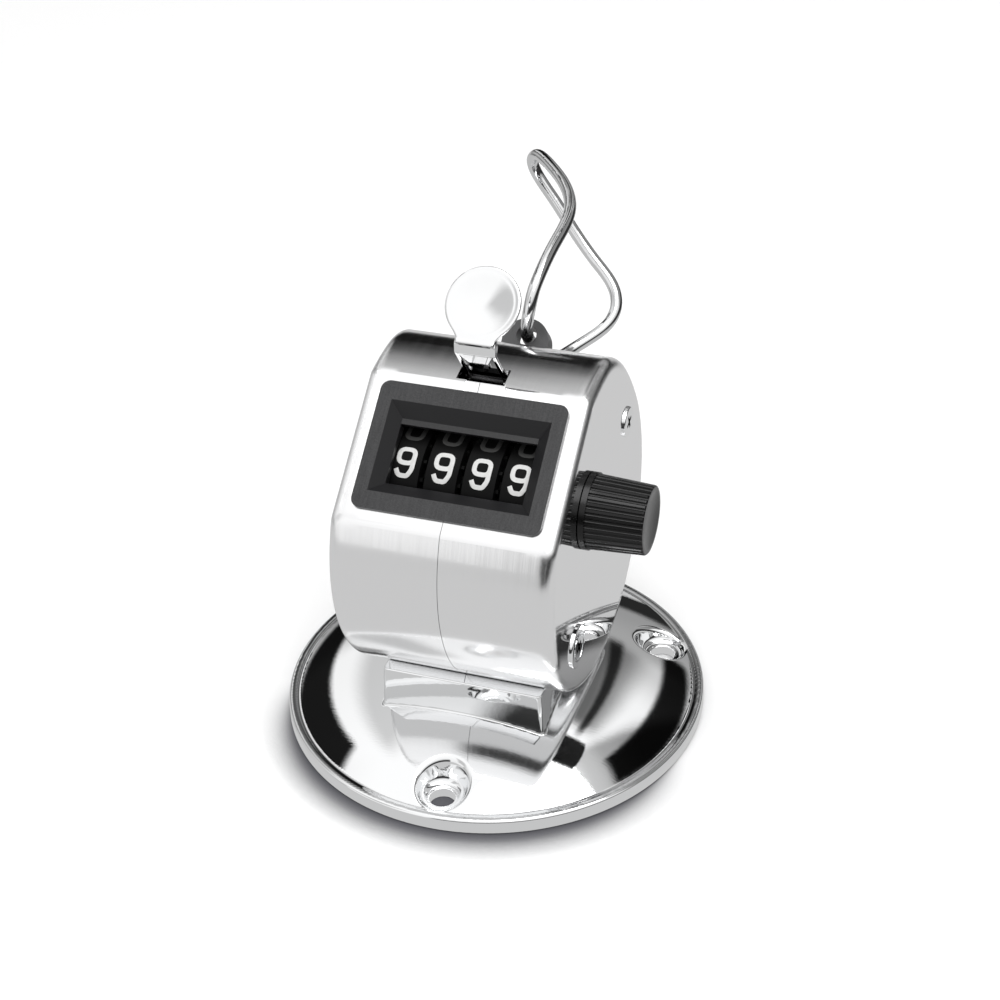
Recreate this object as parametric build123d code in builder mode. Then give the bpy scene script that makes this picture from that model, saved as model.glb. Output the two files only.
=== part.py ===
from build123d import *
import math
import os

# Hand tally counter on a round base, in millimetres. +Z is up, the front faces -Y and the
# reset knob is on +X. The origin is the centre of the base underside.
# The case and the mechanism are drawn as (y, z) side profiles and extruded along X.

os.makedirs("parts", exist_ok=True)


def save(part, name):
    part.label = name
    export_step(part, f"parts/{name}.step")


def polar(centre, radius, degrees):
    """Point at an angle on a circle about a 2D centre."""
    angle = math.radians(degrees)
    return (centre[0] + radius * math.cos(angle), centre[1] + radius * math.sin(angle))


def round_bars(centre, radius, spans, bore_r=None):
    """Round bars, or tubes if bored, along X about (y, z); one for each (x0, x1) span."""
    with BuildPart() as bars:
        for x0, x1 in spans:
            with BuildSketch(Plane.YZ.offset(x0)):
                with Locations(centre):
                    Circle(radius)
                    if bore_r:
                        Circle(bore_r, mode=Mode.SUBTRACT)
            extrude(amount=x1 - x0)
    return bars.part


# ---------------------------------------------------------------- shared dimensions
# Case
drum_y, drum_z, drum_r = 2.2, 34.0, 25.1
half_w = 17.5
wall = 0.9
back_shoulder = (18.2, 54.5)
frame_in, frame_out = 14.5, 15.5    # distances from x = 0 to the frame plate faces

# Dial face: inclined plane, with the case surface a little below it
dial_tilt = math.radians(52.55)
dial_y, dial_z = -10.83, 53.07
normal_y, normal_z = -math.cos(dial_tilt), math.sin(dial_tilt)
up_y, up_z = normal_z, -normal_y    # up the slope of the dial
dial = Plane(origin=(0, dial_y, dial_z), x_dir=(1, 0, 0), z_dir=(0, normal_y, normal_z))
case_drop = 0.5
opening_w, opening_h = 27.4, 18.3

# Number wheels and transfer pinions
wheel_axis = (-3.9, 42.1)
wheel_r = 10.0
wheel_w = 4.95
wheel_pitch = 5.95
shaft_r = 1.5
shaft_end = 25.0
clearance = 0.05
mesh_angle = -30.0                  # direction from the wheel axis to the pinion axis
pinion_axis = polar(wheel_axis, 12.0, mesh_angle)
pinion_shaft_r = 0.8

# Lever pivot
lever_axis = (3.77, 57.6)
lever_pin_r = 0.9
sleeve_r = 1.5

# Screws
upper_screw, lower_screw = (17.2, 45.05), (-10.9, 21.6)
side_screw_r = 1.25
side_screw_depth = 5.5
pillar_r = 2.5
case_hole_r = 1.7
saddle_screw_x = 8.0
saddle_screw_places = [(saddle_screw_x, drum_y), (-saddle_screw_x, drum_y)]
saddle_screw_r = 1.45
cavity_h = 5.0                      # hollow under the base, where the saddle screws sit

# Lug of the finger ring: t runs back and down along the case, s runs outwards
lug_rise = math.radians(40.4)
lug_out = (0.0, math.cos(lug_rise), math.sin(lug_rise))
lug_along = (0.0, lug_out[2], -lug_out[1])
lug_w, lug_thick = 7.6, 3.0
lug_mid_t = 2.1
lug_hole_s = 3.05


def lug_point(x, t, s):
    y, z = back_shoulder
    return (x, y + t * lug_along[1] + s * lug_out[1], z + t * lug_along[2] + s * lug_out[2])


# ---------------------------------------------------------------- case side profile
# Lower front corner: where the sloping front cuts the drum circle
gap = (dial_y - drum_y) * normal_y + (dial_z - drum_z) * normal_z - case_drop
half_chord = math.sqrt(drum_r**2 - gap**2)
low_corner = (
    drum_y + gap * normal_y - half_chord * up_y,
    drum_z + gap * normal_z - half_chord * up_z,
)
top_reach = 11.6                    # dial origin to the top corner, up the slope
top_corner = (
    dial_y + top_reach * up_y - case_drop * normal_y,
    dial_z + top_reach * up_z - case_drop * normal_z,
)

with BuildSketch() as outline:
    with BuildLine():
        drum_back = polar((drum_y, drum_z), drum_r, 30)
        ThreePointArc(low_corner, polar((drum_y, drum_z), drum_r, -90), drum_back)
        arc = TangentArc([drum_back, back_shoulder], tangent=(-0.5, math.sqrt(0.75)))
        arc = TangentArc([back_shoulder, (13.2, 58.8)], tangent=arc % 1)
        arc = TangentArc([(13.2, 58.8), (6.5, 60.75)], tangent=arc % 1)
        TangentArc([(6.5, 60.75), top_corner], tangent=arc % 1)
        Line(top_corner, low_corner)
    make_face()
    for corner, corner_r in ((low_corner, 2.0), (top_corner, 1.3)):
        nearest = outline.vertices().sort_by(
            lambda vertex, c=corner: math.dist((vertex.X, vertex.Y), c)
        )[0]
        fillet(nearest, corner_r)


def inset_outline(distance):
    with BuildSketch() as inset:
        add(outline.sketch)
        offset(amount=-distance, kind=Kind.INTERSECTION, mode=Mode.REPLACE)
    return inset.sketch


case_inside = inset_outline(wall)
frame_outline = inset_outline(1.3)


# ---------------------------------------------------------------- base
base_r = 34.0
rim_h = 2.64
rim_in = 32.8
rim_foot_chamfer, rim_top_chamfer = 0.3, 0.5
dome_r = 76.5
dome_top = 9.67
dome_mid_r = 16.0
cavity_r = 23.0
saddle_x = 13.0
saddle_front, saddle_back = -15.5, 19.9
saddle_foot, saddle_top = 5.3, 14.0
saddle_margin = 0.5
pocket_circle_r = 28.5
pocket_start = -88.0
pocket_r, pocket_floor = 4.2, 1.8
base_hole_r = 2.0


def dome_z(radius):
    return dome_top - dome_r + math.sqrt(dome_r**2 - radius**2)


with BuildPart() as base:
    with BuildSketch(Plane.XZ):
        with BuildLine():
            Polyline(
                (0, dome_top),
                (0, 0),
                (base_r - rim_foot_chamfer, 0),
                (base_r, rim_foot_chamfer),
                (base_r, rim_h - rim_top_chamfer),
                (base_r - rim_top_chamfer, rim_h),
                (rim_in, rim_h),
                (rim_in, dome_z(rim_in)),
            )
            ThreePointArc(
                (rim_in, dome_z(rim_in)), (dome_mid_r, dome_z(dome_mid_r)), (0, dome_top)
            )
        make_face()
    revolve(axis=Axis.Z)
    # tapered saddle
    with BuildSketch(Plane.XY.offset(saddle_foot)):
        with Locations((0, (saddle_front + saddle_back) / 2)):
            RectangleRounded(
                2 * (saddle_x + saddle_margin),
                saddle_back - saddle_front + 2 * saddle_margin,
                1.5,
            )
    extrude(amount=saddle_top - saddle_foot, taper=3.0)
    # cavity under the base
    with BuildSketch(Plane.XY):
        Circle(cavity_r)
    extrude(amount=cavity_h, mode=Mode.SUBTRACT)
    # seat for the round body
    with BuildSketch(Plane.YZ.offset(-half_w - 0.1)):
        with Locations((drum_y, drum_z)):
            Circle(drum_r + 0.03)
    extrude(amount=2 * half_w + 0.2, mode=Mode.SUBTRACT)
    # three screw pockets, then their through holes
    for floor_z, hole_r in ((pocket_floor, pocket_r), (0, base_hole_r)):
        with BuildSketch(Plane.XY.offset(floor_z)):
            with PolarLocations(pocket_circle_r, 3, start_angle=pocket_start):
                Circle(hole_r)
        extrude(amount=8, mode=Mode.SUBTRACT)
    # saddle screw holes
    with BuildSketch(Plane.XY):
        with Locations(*saddle_screw_places):
            Circle(1.6)
    extrude(amount=12, mode=Mode.SUBTRACT)
save(base.part, "base")

# ---------------------------------------------------------------- case halves
slot_front, slot_back = -0.65, 2.65


def case_half(side):
    """Half of the case; side is 1 for +X and -1 for -X."""
    with BuildPart() as case:
        with BuildSketch(Plane.YZ):
            add(outline.sketch)
        extrude(amount=half_w * side)
        end_face = case.faces().sort_by(Axis.X)[-1 if side > 0 else 0]
        fillet(end_face.outer_wire().edges(), 1.4)
        with BuildSketch(Plane.YZ):
            add(case_inside)
        extrude(amount=(half_w - wall) * side, mode=Mode.SUBTRACT)
        # dial opening
        with BuildSketch(dial.offset(-4.0)):
            Rectangle(opening_w, opening_h)
        extrude(amount=6.0, mode=Mode.SUBTRACT)
        # lever slot in the top
        with BuildSketch(Plane.XY.offset(57.2)):
            with Locations((0, (slot_back + slot_front) / 2)):
                Rectangle(7.6, slot_back - slot_front)
        extrude(amount=6.0, mode=Mode.SUBTRACT)
        # shallow relief between the slot and the dial bezel
        with BuildSketch(dial.offset(-case_drop - 0.42)):
            with Locations((1.0, 11.7)):
                Rectangle(6.2, 3.0)
        extrude(amount=3.0, mode=Mode.SUBTRACT)
        # ring lug opening
        with BuildSketch(
            Plane(origin=lug_point(0, lug_mid_t, -3.0), x_dir=(1, 0, 0), z_dir=lug_out)
        ):
            Rectangle(lug_w + 0.1, lug_thick + 0.1)
        extrude(amount=4.0, mode=Mode.SUBTRACT)
        # side screw holes
        with BuildSketch(Plane.YZ.offset(side * (half_w - 3))):
            with Locations(upper_screw, lower_screw):
                Circle(case_hole_r)
        extrude(amount=side * 4.0, mode=Mode.SUBTRACT)
        # saddle screw hole
        with BuildSketch(Plane.XY.offset(6)):
            with Locations((saddle_screw_x * side, drum_y)):
                Circle(case_hole_r)
        extrude(amount=6, mode=Mode.SUBTRACT)
        # the wheel shaft leaves on the knob side only
        if side > 0:
            with BuildSketch(Plane.YZ.offset(half_w - 3)):
                with Locations(wheel_axis):
                    Circle(1.8)
            extrude(amount=4.0, mode=Mode.SUBTRACT)
    return case.part


save(case_half(1), "case_right")
save(case_half(-1), "case_left")

# ---------------------------------------------------------------- bezel
window_w, window_h = 21.4, 10.4
window_shift = -0.17

with BuildPart() as bezel:
    # rim on the case surface
    with BuildSketch(dial.offset(-case_drop + 0.01)):
        RectangleRounded(29.4, 20.3, 1.5)
    extrude(amount=case_drop - 0.01)
    # plug in the dial opening
    with BuildSketch(dial.offset(-3.4)):
        Rectangle(opening_w - 0.1, opening_h - 0.1)
    extrude(amount=3.0)
    # sloping sides narrowing to the window
    with BuildSketch(dial):
        with Locations((0, -0.07)):
            Rectangle(25.1, 14.55)
    with BuildSketch(dial.offset(-1.7)):
        with Locations((0, window_shift)):
            Rectangle(window_w, window_h)
    loft(mode=Mode.SUBTRACT)
    with BuildSketch(dial.offset(-5)):
        with Locations((0, window_shift)):
            Rectangle(window_w, window_h)
    extrude(amount=4, mode=Mode.SUBTRACT)
    # room for the wheels
    with BuildSketch(Plane.YZ.offset(-12.5)):
        with Locations(wheel_axis):
            Circle(wheel_r + 0.35)
    extrude(amount=25.0, mode=Mode.SUBTRACT)
    # bar along the upper edge of the window
    with BuildSketch(dial.offset(-2.5)):
        with Locations((0, 4.6)):
            Rectangle(21.5, 0.9)
    extrude(amount=0.8)
save(bezel.part, "bezel")

# ---------------------------------------------------------------- wheels and pinions
# Tooth flanks from root to tip: (radius, half the tooth width)
wheel_flank = [(7.6, 0.72), (8.5, 0.47), (9.15, 0.26)]
pinion_flank = [(2.5, 0.62), (3.4, 0.47), (4.05, 0.28)]
wheel_teeth, pinion_teeth = 20, 8
tooth_step = 360.0 / wheel_teeth
gear_thick = 0.44
pinion_thick = 0.86


def gear_points(centre, count, flank, phase, only=None):
    """Outline of a spur gear with straight-sided teeth; `only` lists the teeth kept."""
    points = []
    root_r = flank[0][0]
    rising = [(radius, -half) for radius, half in flank]
    falling = flank[::-1]
    for k in range(count):
        angle = phase + 360.0 * k / count
        if only is not None and k not in only:
            points.append(polar(centre, root_r, angle))
            points.append(polar(centre, root_r, angle + 180.0 / count))
            continue
        for radius, half in rising + falling:
            turn = math.degrees(math.asin(half / radius))
            points.append(polar(centre, radius, angle + turn))
    return points


def number_wheel(x_mid, full_gear, carry_teeth):
    """Wheel with an optional full gear on its +X side and two teeth on its -X side."""
    with BuildPart() as wheel:
        with BuildSketch(Plane.YZ.offset(x_mid - wheel_w / 2)):
            with Locations(wheel_axis):
                Circle(wheel_r)
        extrude(amount=wheel_w)
        if full_gear:
            phase = mesh_angle + 0.5 * tooth_step
            points = gear_points(wheel_axis, wheel_teeth, wheel_flank, phase)
            with BuildSketch(Plane.YZ.offset(x_mid + wheel_w / 2)):
                with BuildLine():
                    Polyline(*points, close=True)
                make_face()
            extrude(amount=gear_thick)
        if carry_teeth:
            phase = mesh_angle - 1.5 * tooth_step
            points = gear_points(wheel_axis, wheel_teeth, wheel_flank, phase, only=(0, 1))
            with BuildSketch(Plane.YZ.offset(x_mid - wheel_w / 2 - gear_thick)):
                with BuildLine():
                    Polyline(*points, close=True)
                make_face()
            extrude(amount=gear_thick)
        # shaft bore and a ring of five holes
        with BuildSketch(Plane.YZ.offset(x_mid - 4)):
            with Locations(wheel_axis):
                Circle(shaft_r + clearance)
                with PolarLocations(4.9, 5):
                    Circle(1.5)
        extrude(amount=8, mode=Mode.SUBTRACT)
    return wheel.part


def transfer_pinion(x_mid):
    points = gear_points(pinion_axis, pinion_teeth, pinion_flank, mesh_angle + 180)
    with BuildPart() as pinion:
        with BuildSketch(Plane.YZ.offset(x_mid - pinion_thick / 2)):
            with BuildLine():
                Polyline(*points, close=True)
            make_face()
        extrude(amount=pinion_thick)
        with BuildSketch(Plane.YZ.offset(x_mid - 1)):
            with Locations(pinion_axis):
                Circle(pinion_shaft_r + clearance)
        extrude(amount=2, mode=Mode.SUBTRACT)
    return pinion.part


for i, name in enumerate(["thousands", "hundreds", "tens", "units"]):
    wheel = number_wheel(
        (i - 1.5) * wheel_pitch,
        full_gear=name != "units",
        carry_teeth=name != "thousands",
    )
    save(wheel, "wheel_" + name)

for i, name in enumerate(["hundreds", "tens", "units"]):
    save(transfer_pinion((i - 1) * wheel_pitch), "transfer_pinion_" + name)

save(round_bars(pinion_axis, pinion_shaft_r, [(-frame_out, frame_out)]), "pinion_shaft")

spacer_gap = 0.5                    # pinion centre plane to the nearest spacer end
spacer_end = frame_in - 0.02
pinion_spacer_spans = [
    (-spacer_end, -wheel_pitch - spacer_gap),
    (-wheel_pitch + spacer_gap, -spacer_gap),
    (spacer_gap, wheel_pitch - spacer_gap),
    (wheel_pitch + spacer_gap, spacer_end),
]
save(
    round_bars(pinion_axis, 1.4, pinion_spacer_spans, bore_r=pinion_shaft_r + 0.02),
    "pinion_spacers",
)

# ---------------------------------------------------------------- units ratchet
wheels_end = 1.5 * wheel_pitch + wheel_w / 2
ratchet_x0, ratchet_x1 = wheels_end, wheels_end + 0.95
ratchet_out, ratchet_in = 5.6, 4.45
ratchet_phase = 208.0
ratchet_teeth = 10
# One tooth: (radius, degrees from the start of the tooth)
ratchet_tooth = [
    (ratchet_in, 0), (ratchet_out, 2.0), (ratchet_out, 6.0), (ratchet_in + 0.25, 27.0),
]

with BuildPart() as units_ratchet:
    with BuildSketch(Plane.YZ.offset(ratchet_x0)):
        with BuildLine():
            ratchet_points = [
                polar(wheel_axis, radius, ratchet_phase + 360 / ratchet_teeth * k + turn)
                for k in range(ratchet_teeth)
                for radius, turn in ratchet_tooth
            ]
            Polyline(*ratchet_points, close=True)
        make_face()
    extrude(amount=ratchet_x1 - ratchet_x0)
    with BuildSketch(Plane.YZ.offset(ratchet_x0)):
        with Locations(wheel_axis):
            Circle(shaft_r + clearance)
    extrude(amount=2, mode=Mode.SUBTRACT)
save(units_ratchet.part, "units_ratchet")

# ---------------------------------------------------------------- wheel shaft and spacers
save(round_bars(wheel_axis, shaft_r, [(-16.3, shaft_end)]), "wheel_shaft")

shaft_spacer_spans = [(-spacer_end, -wheels_end - 0.08), (ratchet_x1 + 0.08, spacer_end)]
save(
    round_bars(wheel_axis, 2.2, shaft_spacer_spans, bore_r=shaft_r + clearance),
    "shaft_spacers",
)

# ---------------------------------------------------------------- reset knob
knob_x0, knob_x1 = half_w + 0.1, 27.3
collar_r, collar_h = 5.95, 0.9
grip_x = knob_x0 + collar_h
grip_r, grip_end_r = 5.75, 5.3
grip_taper = math.degrees(math.atan((grip_r - grip_end_r) / (knob_x1 - grip_x)))
groove_count, groove_r, groove_circle_r = 36, 0.3, 5.83
dish_r, dish_depth = 23.0, 0.45

with BuildPart() as reset_knob:
    with BuildSketch(Plane.YZ.offset(knob_x0)):
        with Locations(wheel_axis):
            Circle(collar_r)
    extrude(amount=collar_h)
    with BuildSketch(Plane.YZ.offset(grip_x)):
        with Locations(wheel_axis):
            Circle(grip_r)
    with BuildSketch(Plane.YZ.offset(knob_x1)):
        with Locations(wheel_axis):
            Circle(grip_end_r)
    loft()
    fillet(reset_knob.faces().sort_by(Axis.X)[-1].edges(), 0.35)
    # shallow dished end face
    with Locations((knob_x1 - dish_depth + dish_r, *wheel_axis)):
        Sphere(dish_r, mode=Mode.SUBTRACT)
    # grip grooves, cut along the taper of the body
    with Locations(Plane(origin=(grip_x, *wheel_axis), x_dir=(0, 1, 0), z_dir=(1, 0, 0))):
        with PolarLocations(groove_circle_r, groove_count):
            with Locations(Location((0, 0, 0), (0, -grip_taper, 0))):
                Cylinder(
                    groove_r,
                    12,
                    align=(Align.CENTER, Align.CENTER, Align.MIN),
                    mode=Mode.SUBTRACT,
                )
    # blind bore for the wheel shaft
    with BuildSketch(Plane.YZ.offset(knob_x0 - 1)):
        with Locations(wheel_axis):
            Circle(shaft_r)
    extrude(amount=shaft_end - knob_x0 + 1, mode=Mode.SUBTRACT)
save(reset_knob.part, "reset_knob")


# ---------------------------------------------------------------- frames and pillars
def frame_plate(x_start):
    with BuildPart() as frame:
        with BuildSketch(Plane.YZ.offset(x_start)):
            add(frame_outline)
        extrude(amount=frame_out - frame_in)
        with BuildSketch(Plane.YZ.offset(x_start - 1)):
            with Locations(wheel_axis):
                Circle(shaft_r + clearance)
            with Locations(lever_axis):
                Circle(lever_pin_r)
            with Locations(pinion_axis):
                Circle(pinion_shaft_r)
            with Locations(upper_screw, lower_screw):
                Circle(pillar_r)
            # large round opening low in the plate
            with Locations((drum_y + 2, drum_z - 13)):
                Circle(6)
        extrude(amount=3, mode=Mode.SUBTRACT)
    return frame.part


save(frame_plate(-frame_out), "frame_left")
save(frame_plate(frame_in), "frame_right")

pillar_end = half_w - wall - 0.03
with BuildPart() as pillars:
    for place in (upper_screw, lower_screw):
        with BuildSketch(Plane.YZ.offset(-pillar_end)):
            with Locations(place):
                Circle(pillar_r)
        extrude(amount=2 * pillar_end)
        # screw hole in each end
        for hole_x in (-pillar_end, pillar_end - side_screw_depth):
            with BuildSketch(Plane.YZ.offset(hole_x)):
                with Locations(place):
                    Circle(side_screw_r)
            extrude(amount=side_screw_depth, mode=Mode.SUBTRACT)
save(pillars.part, "pillars")


# ---------------------------------------------------------------- side screws
def side_screws(place, head_r, ringed, head_h=0.4):
    """Pair of cross-slot screws, one in each side; `ringed` cuts a groove in the head."""
    with BuildPart() as screws:
        for side in (1, -1):
            with BuildSketch(Plane.YZ.offset(side * half_w)):
                with Locations(place):
                    Circle(head_r)
            extrude(amount=side * head_h)
            with BuildSketch(Plane.YZ.offset(side * (half_w - side_screw_depth))):
                with Locations(place):
                    Circle(side_screw_r)
            extrude(amount=side * (side_screw_depth + 0.1))
        for side in (1, -1):
            top = screws.faces().sort_by(Axis.X)[-1 if side > 0 else 0]
            fillet(top.edges(), head_h * 0.55)
            if ringed:
                with BuildSketch(Plane.YZ.offset(side * (half_w + head_h - 0.2))):
                    with Locations(place):
                        Circle(head_r - 1.0)
                        Circle(head_r - 1.5, mode=Mode.SUBTRACT)
                extrude(amount=side * 1.0, mode=Mode.SUBTRACT)
            with BuildSketch(Plane.YZ.offset(side * (half_w + head_h - 0.75))):
                with Locations(place):
                    Rectangle(2.3, 0.6, rotation=20)
                    Rectangle(0.6, 2.3, rotation=20)
            extrude(amount=side * 2.0, mode=Mode.SUBTRACT)
    return screws.part


save(side_screws(upper_screw, head_r=2.45, ringed=False), "upper_side_screws")
save(side_screws(lower_screw, head_r=3.5, ringed=True), "lower_side_screws")

# ---------------------------------------------------------------- saddle fasteners
saddle_head_h = 2.4
with BuildPart() as saddle_screws:
    with BuildSketch(Plane.XY.offset(cavity_h - saddle_head_h)):
        with Locations(*saddle_screw_places):
            Circle(2.75)
    extrude(amount=saddle_head_h)
    with BuildSketch(Plane.XY.offset(cavity_h)):
        with Locations(*saddle_screw_places):
            Circle(saddle_screw_r)
    extrude(amount=7.4)
    # cross slots, cut from just below the heads
    with BuildSketch(Plane.XY.offset(cavity_h - saddle_head_h - 0.1)):
        with Locations(*saddle_screw_places):
            Rectangle(4.2, 0.8)
            Rectangle(0.8, 4.2)
    extrude(amount=1.3, mode=Mode.SUBTRACT)
save(saddle_screws.part, "saddle_screws")

with BuildPart() as nut_plate:
    with BuildSketch(Plane.XY.offset(10.2)):
        with Locations((0, drum_y)):
            Rectangle(24, 8)
        with Locations(*saddle_screw_places):
            Circle(saddle_screw_r, mode=Mode.SUBTRACT)
    extrude(amount=1.8)
save(nut_plate.part, "saddle_nut_plate")

# ---------------------------------------------------------------- lever
sheet = 0.7
cheek_half_w = 3.2                  # outer faces of the two cheeks
neck_half_w = 2.9
knee_y, knee_z = -3.6, 66.2
web_y, web_z = 0.617, -0.787        # direction of the web, back and down from the knee
diagonal = math.sqrt(0.5)           # the neck rises back from the knee at 45 degrees
pad_reach = 7.35                    # knee to pad centre
pad_r = 5.8
neck_reach = 2.2
pad_plane = Plane(
    origin=(0, knee_y + pad_reach * diagonal, knee_z + pad_reach * diagonal),
    x_dir=(1, 0, 0),
    z_dir=(0, -diagonal, diagonal),
)


def web_point(along, across):
    """(y, z) from the knee: along the web, and across it towards the back and up."""
    return (
        knee_y + along * web_y - across * web_z,
        knee_z + along * web_z + across * web_y,
    )


neck_end_y, neck_end_z = knee_y + neck_reach * diagonal, knee_z + neck_reach * diagonal
web_profile = [
    (knee_y, knee_z),
    (neck_end_y, neck_end_z),
    (neck_end_y + sheet * diagonal, neck_end_z - sheet * diagonal),
    (knee_y + 1.02, knee_z - 0.03),
    web_point(5.3, sheet),
    web_point(5.3, 0),
]
# Cheek outline: (along, across) the web
cheek_stations = [
    (0.0, 0), (-1.2, 0.9), (0.6, 1.1), (2.0, 0.7),
    (9.4, 0.7), (11.3, 1.6), (11.3, -0.7), (9.8, 0.0),
]

with BuildPart() as lever:
    # round pad and neck
    with BuildSketch(pad_plane.offset(-sheet)):
        Circle(pad_r)
        with Locations((0, -5.4)):
            Rectangle(2 * neck_half_w, 3.9)
    extrude(amount=sheet)
    # neck to knee and web, one bent sheet
    with BuildSketch(Plane.YZ.offset(-neck_half_w)):
        with BuildLine():
            Polyline(*web_profile, close=True)
        make_face()
    extrude(amount=2 * neck_half_w)
    # two cheeks running down through the slot to the pivot
    for cheek_x in (-cheek_half_w, cheek_half_w - sheet):
        with BuildSketch(Plane.YZ.offset(cheek_x)):
            with BuildLine():
                Polyline(*[web_point(*station) for station in cheek_stations], close=True)
            make_face()
            with Locations(lever_axis):
                Circle(1.9)
        extrude(amount=sheet)
    with BuildSketch(Plane.YZ.offset(-10)):
        with Locations(lever_axis):
            Circle(sleeve_r)
    extrude(amount=20, mode=Mode.SUBTRACT)
    # dished face of the pad
    with Locations(pad_plane.offset(22.0)):
        Sphere(22.35, mode=Mode.SUBTRACT)
save(lever.part, "lever")

save(
    round_bars(lever_axis, sleeve_r, [(-13.4, 14.25)], bore_r=lever_pin_r + clearance),
    "lever_sleeve",
)
save(round_bars(lever_axis, lever_pin_r, [(-frame_out, frame_out)]), "lever_pin")

# ---------------------------------------------------------------- pawl and its arm
pawl_pivot = (-7.0, 48.7)
pawl_pin_r = 0.6
pawl_thick = 0.7
pawl_x = ratchet_x1 + 0.15
arm_thick = 0.8
arm_x = pawl_x + pawl_thick + 0.1
arm_dy, arm_dz = lever_axis[0] - pawl_pivot[0], lever_axis[1] - pawl_pivot[1]

# arm from the sleeve to the drive pawl
with BuildPart() as pawl_arm:
    with BuildSketch(Plane.YZ.offset(arm_x)):
        with Locations(lever_axis):
            Circle(1.9)
        with Locations(pawl_pivot):
            Circle(1.25)
        with Locations((pawl_pivot[0] + arm_dy / 2, pawl_pivot[1] + arm_dz / 2)):
            Rectangle(
                math.hypot(arm_dy, arm_dz),
                2.0,
                rotation=math.degrees(math.atan2(arm_dz, arm_dy)),
            )
        with Locations(lever_axis):
            Circle(sleeve_r, mode=Mode.SUBTRACT)
        with Locations(pawl_pivot):
            Circle(pawl_pin_r, mode=Mode.SUBTRACT)
    extrude(amount=arm_thick)
save(pawl_arm.part, "pawl_arm")

pawl_pin_span = (pawl_x - 0.05, arm_x + arm_thick + 0.1)
save(round_bars(pawl_pivot, pawl_pin_r, [pawl_pin_span]), "pawl_pin")

# drive pawl: bent plate with a tip pin that sits behind a ratchet tooth
pawl_w = 1.3
pawl_path = [(-10.1, 44.8), (-9.9, 42.0), polar(wheel_axis, 5.1, 203.5)]
with BuildPart() as drive_pawl:
    with BuildSketch(Plane.YZ.offset(pawl_x)):
        with BuildLine():
            Polyline(pawl_pivot, *pawl_path)
        trace(line_width=pawl_w)
        with Locations(pawl_pivot):
            Circle(1.2)
        with Locations(*pawl_path):
            Circle(pawl_w / 2)
        with Locations(pawl_pivot):
            Circle(pawl_pin_r + clearance, mode=Mode.SUBTRACT)
    extrude(amount=pawl_thick)
    with BuildSketch(Plane.YZ.offset(ratchet_x0 + 0.1)):
        with Locations(pawl_path[-1]):
            Circle(0.24)
    extrude(amount=pawl_x - ratchet_x0)
save(drive_pawl.part, "drive_pawl")

# ---------------------------------------------------------------- springs
# detent leaf bearing on the back of the ratchet, with a post reaching the frame
detent_y, detent_z = 6.6, 45.6
detent_x = ratchet_x0 + 0.15
detent_tip = polar(wheel_axis, ratchet_out + 0.32, 18.0)
with BuildPart() as detent_spring:
    with BuildSketch(Plane.YZ.offset(detent_x)):
        with BuildLine():
            Polyline((detent_y, detent_z), (3.6, 45.2), detent_tip)
        trace(line_width=0.3)
    extrude(amount=0.7)
    with BuildSketch(Plane.YZ.offset(detent_x)):
        with Locations((detent_y + 0.5, detent_z)):
            Circle(0.8)
    extrude(amount=frame_in - detent_x)
save(detent_spring.part, "detent_spring")

# lever return spring round the sleeve: a helix with a straight leg at each end
with BuildLine() as helix_line:
    Helix(pitch=0.55, height=2.75, radius=1.8)
helix = helix_line.line.edge()
start_leg = Edge.make_line((helix @ 0) - (helix % 0) * 3.5, helix @ 0)
end_leg = Edge.make_line(helix @ 1, (helix @ 1) + (helix % 1) * 4.5)
coil = Solid.sweep(
    (Plane(origin=start_leg @ 0, z_dir=helix % 0) * Circle(0.2)).face(),
    Wire([start_leg, helix, end_leg]),
)
spring_plane = Plane(origin=(-11.0, *lever_axis), x_dir=(0, 0, -1), z_dir=(1, 0, 0))
save(Part(coil.wrapped).moved(spring_plane.location), "lever_spring")

# ---------------------------------------------------------------- ring lug
lug_top_s, lug_foot_s = 2.03, -2.3  # straight part of the lug; the round end is above
with BuildPart() as ring_lug:
    with BuildSketch(
        Plane(
            origin=lug_point(0, lug_mid_t + lug_thick / 2, 0),
            x_dir=(1, 0, 0),
            z_dir=tuple(-c for c in lug_along),
        )
    ):
        with Locations((0, (lug_top_s + lug_foot_s) / 2)):
            Rectangle(lug_w, lug_top_s - lug_foot_s)
        with Locations((0, lug_top_s)):
            Circle(lug_w / 2)
        with Locations((0, lug_hole_s)):
            Circle(1.65, mode=Mode.SUBTRACT)
    extrude(amount=lug_thick)
    # flange inside the case
    with BuildSketch(
        Plane(origin=lug_point(0, lug_mid_t, -2.6), x_dir=(1, 0, 0), z_dir=lug_out)
    ):
        Rectangle(10.4, 6.2)
    extrude(amount=1.2)
save(ring_lug.part, "ring_lug")

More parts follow.
